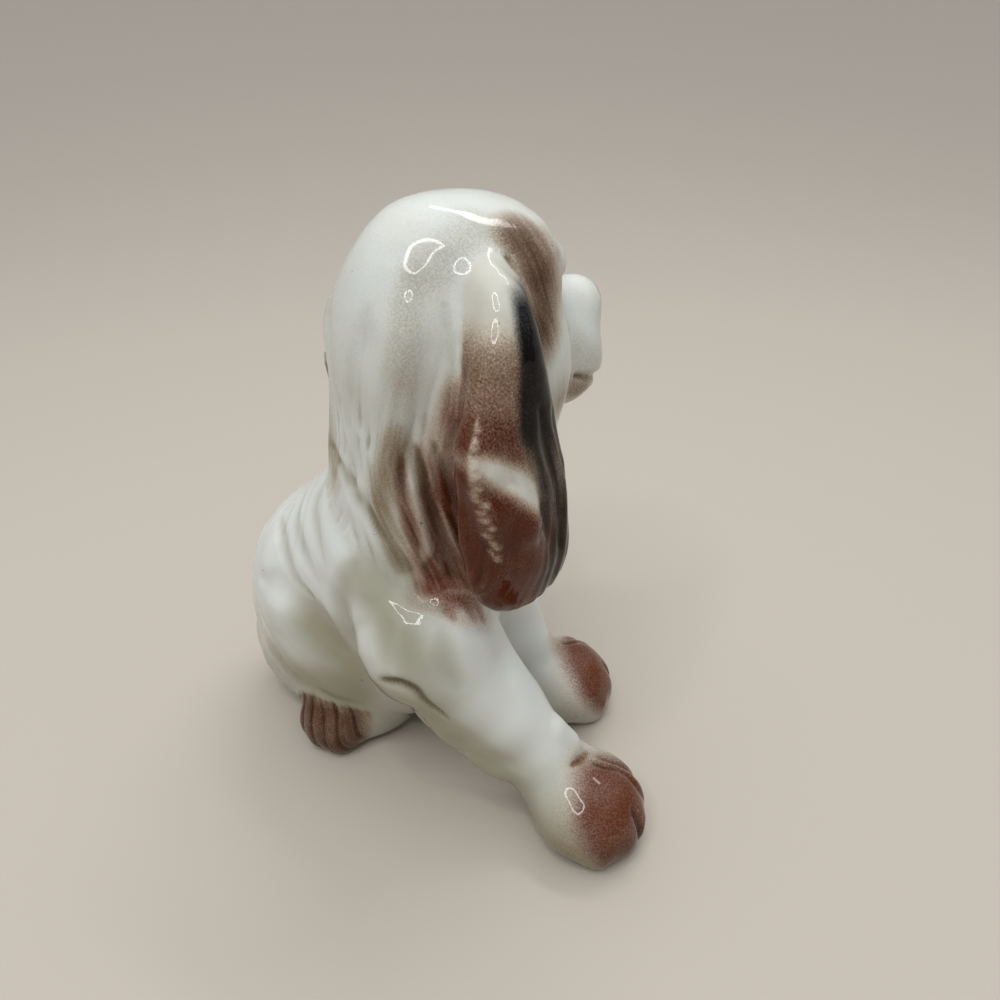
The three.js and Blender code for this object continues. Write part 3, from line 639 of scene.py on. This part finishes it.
# Glaze
# Every casting is dipped in clear glaze over its airbrushed stains, which the firing melts to a glassy coat.
# Two finishes share it: white porcelain on the body, and the dark ears.
points += normals * lift[:, None]
points[:, 2] = np.maximum(points[:, 2], 0.0)
vent = ramp(VENT_RADIUS, VENT_RADIUS - 0.8, from_middle) * (points[:, 2] < 1.0)
points[:, 2] += 2.5 * SEAT_THICKNESS * vent
skin.vertices.foreach_set("co", (points * MM).ravel())
skin.update()
glassy = column(skin.vertices, "normal", 3)
glassy = np.stack([spread(glassy[:, axis], 3) for axis in range(3)], 1)
smooth_normals = glassy / np.linalg.norm(glassy, axis=1, keepdims=True)
evened = np.stack([spread(points[:, axis], 10) for axis in range(3)], 1)
bulge = ((points - evened) * smooth_normals).sum(1)
# Glaze pools in every hollow, and the same layer paints shade into them; the brown and mauve stains are
# thinner on the bulges.
coat("pool_and_shade", ramp(0.02, 0.20, -bulge))
wipe("brown", 0.35 * ramp(0.05, 0.22, bulge))
wipe("mauve", 0.30 * ramp(0.08, 0.26, bulge))

WHITE = (0.73, 0.78, 0.765, 1)
CREAM = (0.77, 0.765, 0.71, 1)
BISCUIT = (0.80, 0.77, 0.70, 1)
PINHOLE = (0.10, 0.085, 0.06, 1)
# the tint of thick pooled glaze, also used as painted shade on the lower body and in hollows
POOL_AND_SHADE_TINT = (0.46, 0.42, 0.305, 1)
# what each stain lets through at full strength, and how unevenly it settles
STAINS = {
    # the grey-brown stain is also used as painted shade in creases, beside the brow and under the jaw
    "grey_stain_and_shade": ((0.40, 0.34, 0.25, 1), 4.0),
    "brown": ((0.190, 0.039, 0.010, 1), 4.0),
    "mauve": ((0.18, 0.048, 0.020, 1), 4.0),
    "black": ((0.018, 0.019, 0.026, 1), 3.0),
}


def add(tree, kind, inputs, **settings):
    """A shader node with its settings, its fixed values and its links."""
    made = tree.nodes.new(kind)
    for setting, value in settings.items():
        setattr(made, setting, value)
    for socket, value in inputs.items():
        if isinstance(value, bpy.types.NodeSocket):
            tree.links.new(value, made.inputs[socket])
        else:
            made.inputs[socket].default_value = value
    return made


def maths(tree, operation, first, second, **settings):
    """The result of one sum of two values."""
    return add(tree, "ShaderNodeMath", {0: first, 1: second}, operation=operation, **settings).outputs[0]


airbrush = bpy.data.node_groups.new("airbrushed_stain", "ShaderNodeTree")
for socket, kind in (
    ("Under", "Color"),
    ("Stain", "Color"),
    ("Density", "Float"),
    ("Speck", "Float"),
    ("Unevenness", "Float"),
):
    airbrush.interface.new_socket(socket, in_out="INPUT", socket_type=f"NodeSocket{kind}")
airbrush.interface.new_socket("Color", in_out="OUTPUT", socket_type="NodeSocketColor")
given = airbrush.nodes.new("NodeGroupInput").outputs
off_middle = maths(airbrush, "SUBTRACT", given["Speck"], 0.5)
uneven = maths(airbrush, "MULTIPLY", off_middle, given["Unevenness"])
headroom = maths(airbrush, "SUBTRACT", 1.2, given["Density"])
loose = maths(airbrush, "MULTIPLY", headroom, given["Density"])
scatter = maths(airbrush, "MULTIPLY", loose, uneven)
cover = maths(airbrush, "ADD", scatter, given["Density"], use_clamp=True)
film = add(airbrush, "ShaderNodeGamma", {"Color": given["Stain"], "Gamma": cover}).outputs[0]
halftone = {0: cover, 6: (1, 1, 1, 1), 7: given["Stain"]}
dots = add(airbrush, "ShaderNodeMix", halftone, data_type="RGBA").outputs[2]
tint = add(airbrush, "ShaderNodeMix", {0: 0.5, 6: film, 7: dots}, data_type="RGBA").outputs[2]
stained = add(
    airbrush, "ShaderNodeMix", {0: 1.0, 6: given["Under"], 7: tint}, data_type="RGBA", blend_type="MULTIPLY"
)
add(airbrush, "NodeGroupOutput", {"Color": stained.outputs[2]})


def glaze(name, ground):
    """Clear glaze over porcelain, with the stains and the painted shade that the skin's own paint layers
    carry.
    """
    material = bpy.data.materials.new(name)
    material.use_nodes = True
    tree = material.node_tree
    tree.nodes.clear()

    def layer(label):
        return add(tree, "ShaderNodeAttribute", {}, attribute_name=label).outputs["Fac"]

    strand = add(tree, "ShaderNodeAttribute", {}, attribute_name="strand").outputs["Vector"]
    place = add(tree, "ShaderNodeTexCoord", {}).outputs["Object"]
    speck = add(tree, "ShaderNodeTexNoise", {"Vector": place, "Scale": 3600, "Detail": 2}).outputs["Fac"]
    cloud = add(tree, "ShaderNodeTexNoise", {"Vector": place, "Scale": 150, "Detail": 3}).outputs["Fac"]
    combed = add(tree, "ShaderNodeMapping", {"Vector": strand, "Scale": (1500, 110, 1)}).outputs[0]
    hair = add(tree, "ShaderNodeTexNoise", {"Vector": combed, "Scale": 1, "Detail": 2}).outputs["Fac"]
    fur = layer("fur")
    settled = add(tree, "ShaderNodeMix", {0: fur, 2: speck, 3: hair}).outputs[0]
    mottled = maths(tree, "MULTIPLY", maths(tree, "ADD", settled, maths(tree, "ADD", speck, cloud)), 1 / 3)
    color = add(tree, "ShaderNodeMix", {0: cloud, 6: ground, 7: CREAM}, data_type="RGBA").outputs[2]
    for stain, (tint, unevenness) in STAINS.items():
        brushed = add(tree, "ShaderNodeGroup", {}, node_tree=airbrush)
        for socket, value in (("Under", color), ("Density", layer(stain)), ("Speck", mottled)):
            tree.links.new(value, brushed.inputs[socket])
        brushed.inputs["Stain"].default_value = tint
        brushed.inputs["Unevenness"].default_value = unevenness
        color = brushed.outputs[0]
    # Pooled glaze and painted shade multiply the colour towards a warm olive.
    pool_and_shade_mix = {0: layer("pool_and_shade"), 6: color, 7: POOL_AND_SHADE_TINT}
    color = add(tree, "ShaderNodeMix", pool_and_shade_mix, data_type="RGBA", blend_type="MULTIPLY").outputs[2]
    pits = add(tree, "ShaderNodeTexVoronoi", {"Vector": place, "Scale": 190}).outputs["Distance"]
    pinhole = add(tree, "ShaderNodeMapRange", {0: pits, 1: 0.045, 2: 0.02}).outputs[0]
    color = add(tree, "ShaderNodeMix", {0: pinhole, 6: color, 7: PINHOLE}, data_type="RGBA").outputs[2]
    bare = layer("bare")
    color = add(tree, "ShaderNodeMix", {0: bare, 6: color, 7: BISCUIT}, data_type="RGBA").outputs[2]
    rough = add(tree, "ShaderNodeMapRange", {0: bare, 3: 0.06, 4: 0.75}).outputs[0]
    cut = maths(tree, "MULTIPLY", hair, fur)
    bump = add(tree, "ShaderNodeBump", {"Strength": 0.2, "Distance": 0.2 * MM, "Height": cut}).outputs[0]
    dipped = {
        "Base Color": color,
        "Roughness": rough,
        "IOR": 1.5,
        "Specular IOR Level": 0.24,
        "Normal": bump,
    }
    shader = add(tree, "ShaderNodeBsdfPrincipled", dipped)
    add(tree, "ShaderNodeOutputMaterial", {"Surface": shader.outputs[0]})
    return material


white_glaze = glaze("white_glaze", WHITE)
brown_glaze = glaze("brown_glaze", CREAM)

# Fired castings
# The figure is fired once, and the joined skin is then known again as its nine castings.
# Each keeps its own share of the skin, closed where slip joins it to the next.
LIP_DEPTH = 0.8
names = list(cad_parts)
votes = np.stack([belongs[name][quads].sum(1) for name in names], 1)
owner = votes.argmax(1)
whole = bmesh.new()
whole.from_mesh(skin)
for _ in range(2):
    found = set()
    for patch in patches(list(whole.faces), lambda face: owner[face.index]):
        kept = owner[patch[0].index]
        if kept not in found:
            found.add(kept)
            continue
        rim = [near.index for face in patch for edge in face.edges for near in edge.link_faces]
        others = [owner[index] for index in rim if owner[index] != kept]
        owner[[face.index for face in patch]] = np.bincount(others).argmax()
whole.free()


def verts_of(parts):
    """The vertices among some parts of a mesh."""
    return [part for part in parts if isinstance(part, bmesh.types.BMVert)]


for index, name in enumerate(names):
    used, local = np.unique(quads[owner == index], return_inverse=True)
    mesh = bpy.data.meshes.new(name + "_glazed")
    mesh.from_pydata((points[used] * MM).tolist(), [], local.reshape(-1, 4).tolist())
    for layer, values in paint.items():
        mesh.attributes.new(layer, "FLOAT", "POINT").data.foreach_set("value", values[used])
    flow = mesh.attributes.new("strand", "FLOAT_VECTOR", "POINT")
    flow.data.foreach_set("vector", (strands[used] * MM).ravel())
    shaped = bmesh.new()
    shaped.from_mesh(mesh)
    rims = [edge for edge in shaped.edges if edge.is_boundary]
    outer = list(shaped.verts)
    lips = verts_of(bmesh.ops.extrude_edge_only(shaped, edges=rims)["geom"])
    turned = smooth_normals[used].tolist()
    places = {vert: index for index, vert in enumerate(outer)}
    for lip in lips:
        ends = [edge.other_vert(lip) for edge in lip.link_edges]
        near = next(places[end] for end in ends if end in places)
        lip.co -= Vector(turned[near]) * LIP_DEPTH * MM
        turned.append(turned[near])
    rims = [edge for edge in shaped.edges if edge.is_boundary]
    caps = bmesh.ops.holes_fill(shaped, edges=rims, sides=0)["faces"]
    bmesh.ops.triangulate(shaped, faces=caps)
    shaped.to_mesh(mesh)
    shaped.free()
    mesh.shade_smooth()
    mesh.normals_split_custom_set_from_vertices(turned)
    piece = bpy.data.objects.new(name + "_glazed", mesh)
    bpy.context.scene.collection.objects.link(piece)
    dark = name.endswith("ear")
    mesh.materials.append(brown_glaze if dark else white_glaze)
    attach(piece, "root")
    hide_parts(name)

# Table, lamps and camera
# A plain pale table in a softly lit room, with a ring lamp and a strip lamp for the highlights in the glaze.
# The camera looks down from the puppy's right, a little behind its shoulder.
TABLE_COLOR = (0.52, 0.465, 0.40, 1)
TABLE_WIDTH = 8.0
SWEEP_START = 0.35
SWEEP_RADIUS = 1.8
SKY_LOW = 0.12
SKY_RISE = 1.5
RING_PLACE = Vector((-0.033, -0.31, 0.585))
RING_RADIUS = 0.11
RING_BAND = 1.28
RING_GLOW = 20.0
STRIP_PLACE = Vector((0.05, 0.28, 0.62))
STRIP_ENERGY = 0.9
FIGURE = Vector((0.0, 0.0, 0.05))
CAMERA_PLACE = (0.0443, -0.1029, 0.111)
CAMERA_PITCH = math.radians(60.6)
CAMERA_TURN = math.radians(18)
CAMERA_LENS = 27.04


def build(name, shape, material):
    """An object made from a finished bmesh, with one material."""
    mesh = bpy.data.meshes.new(name)
    shape.to_mesh(mesh)
    shape.free()
    mesh.materials.append(material)
    made = bpy.data.objects.new(name, mesh)
    bpy.context.scene.collection.objects.link(made)
    return made


paper = bpy.data.materials.new("paper")
paper.use_nodes = True
paper.node_tree.nodes["Principled BSDF"].inputs["Base Color"].default_value = TABLE_COLOR
paper.node_tree.nodes["Principled BSDF"].inputs["Roughness"].default_value = 0.8
top = bmesh.new()
line = [top.verts.new((-TABLE_WIDTH / 2, -2.0, 0)), top.verts.new((-TABLE_WIDTH / 2, SWEEP_START, 0))]
top.edges.new(line)
bmesh.ops.spin(
    top,
    geom=line[1:],
    cent=(-TABLE_WIDTH / 2, SWEEP_START, SWEEP_RADIUS),
    axis=(1, 0, 0),
    angle=math.radians(70),
    steps=48,
)
far = bmesh.ops.extrude_edge_only(top, edges=top.edges[:])["geom"]
bmesh.ops.translate(top, vec=(TABLE_WIDTH, 0, 0), verts=verts_of(far))
bmesh.ops.rotate(top, matrix=Matrix.Rotation(CAMERA_TURN, 3, "Z"), verts=top.verts)
table = build("table", top, paper)
table.data.shade_smooth()

glow = bpy.data.materials.new("glow")
glow.use_nodes = True
glow.node_tree.nodes.clear()
shine = add(glow.node_tree, "ShaderNodeEmission", {"Strength": RING_GLOW})
add(glow.node_tree, "ShaderNodeOutputMaterial", {"Surface": shine.outputs[0]})
band = bmesh.new()
bmesh.ops.create_circle(band, cap_ends=False, segments=64, radius=RING_RADIUS)
outer = bmesh.ops.extrude_edge_only(band, edges=band.edges[:])["geom"]
bmesh.ops.scale(band, vec=(RING_BAND, RING_BAND, 1), verts=verts_of(outer))
aim = (FIGURE - RING_PLACE).to_track_quat("-Z", "Y").to_matrix().to_4x4()
bmesh.ops.transform(band, matrix=Matrix.Translation(RING_PLACE) @ aim, verts=band.verts)
ring_lamp = build("ring_lamp", band, glow)
ring_lamp.visible_camera = False

strip = bpy.data.lights.new("strip_lamp", "AREA")
strip.shape = "RECTANGLE"
strip.size = 0.45
strip.size_y = 0.05
strip.energy = STRIP_ENERGY
strip_lamp = bpy.data.objects.new("strip_lamp", strip)
strip_lamp.location = STRIP_PLACE
strip_lamp.rotation_euler = (FIGURE - STRIP_PLACE).to_track_quat("-Z", "Y").to_euler()
bpy.context.scene.collection.objects.link(strip_lamp)

world = bpy.data.worlds.new("room")
bpy.context.scene.world = world
world.use_nodes = True
room = world.node_tree
room.nodes.clear()
direction = add(room, "ShaderNodeTexCoord", {}).outputs["Generated"]
height = add(room, "ShaderNodeSeparateXYZ", {0: direction}).outputs["Z"]
curve = maths(room, "POWER", maths(room, "MAXIMUM", height, 0.0), 3.0)
rise = {0: curve, 1: SKY_RISE, 2: SKY_LOW}
level = add(room, "ShaderNodeMath", rise, operation="MULTIPLY_ADD").outputs[0]
sky = add(room, "ShaderNodeBackground", {"Color": (0.95, 0.98, 1.0, 1), "Strength": level}).outputs[0]
add(room, "ShaderNodeOutputWorld", {"Surface": sky})

camera = bpy.data.objects.new("camera", bpy.data.cameras.new("camera"))
camera.location = CAMERA_PLACE
camera.rotation_euler = (CAMERA_PITCH, 0, CAMERA_TURN)
camera.data.lens = CAMERA_LENS
camera.data.sensor_width = 36
camera.data.clip_start = 0.001
bpy.context.scene.collection.objects.link(camera)
bpy.context.scene.camera = camera
bpy.context.scene.view_settings.view_transform = "Standard"
